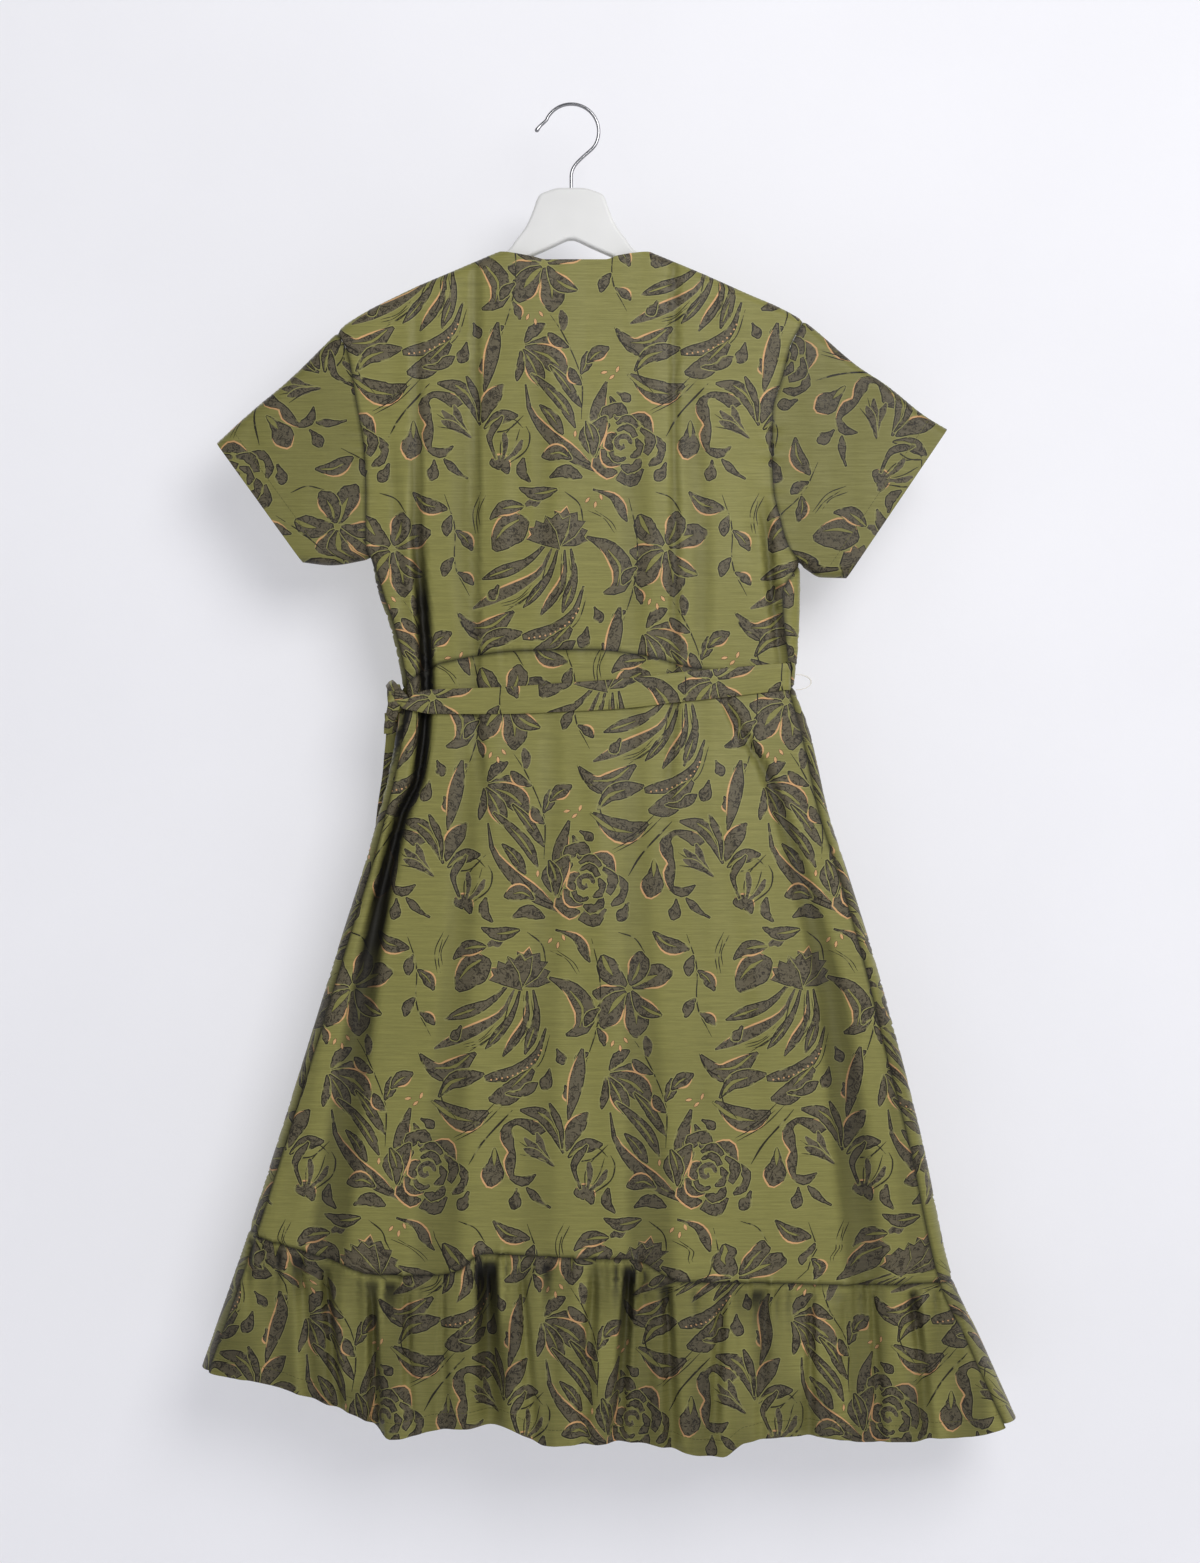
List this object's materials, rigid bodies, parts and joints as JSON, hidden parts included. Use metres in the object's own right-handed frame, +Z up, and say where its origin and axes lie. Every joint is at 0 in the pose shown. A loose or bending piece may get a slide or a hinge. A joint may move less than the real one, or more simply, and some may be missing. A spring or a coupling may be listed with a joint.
{
  "type": "wrap dress on hanger",
  "caption": "Short-sleeved wrap dress with a tie belt and a gathered hem ruffle, hung flat on a plain hanger with a wire hook.",
  "frame": {"origin": "inner top of the hanger's hook, where the rail carries it", "axes": "+Z up; the dress's back faces -Y and its wrapped front +Y; +X is the wearer's right"},
  "size_m": [0.7902, 0.1251, 1.3034],
  "materials": {
    "printed_satin": "soft satin with crosswise slubs, olive ground, dark grey flowers outlined in black and peach",
    "clear_tape": "thin translucent hanging tape",
    "painted_wood": "smooth white satin paint",
    "chrome": "bright plated wire"
  },
  "bodies": {
    "root": {"back_bodice": "printed_satin", "back_skirt": "printed_satin", "back_ruffle": "printed_satin", "front_bodice_over": "printed_satin", "front_bodice_under": "printed_satin", "front_skirt_over": "printed_satin", "front_skirt_under": "printed_satin", "front_ruffle_over": "printed_satin", "front_ruffle_under": "printed_satin", "sleeve_left": "printed_satin", "sleeve_right": "printed_satin", "belt_back": "printed_satin", "belt_front": "printed_satin", "tie_knot": "printed_satin", "tie_tail_inner": "printed_satin", "tie_tail_outer": "printed_satin", "hanging_loop": "clear_tape", "hanger_body": "painted_wood", "hanger_hook": "chrome"}
  },
  "joints": []
}
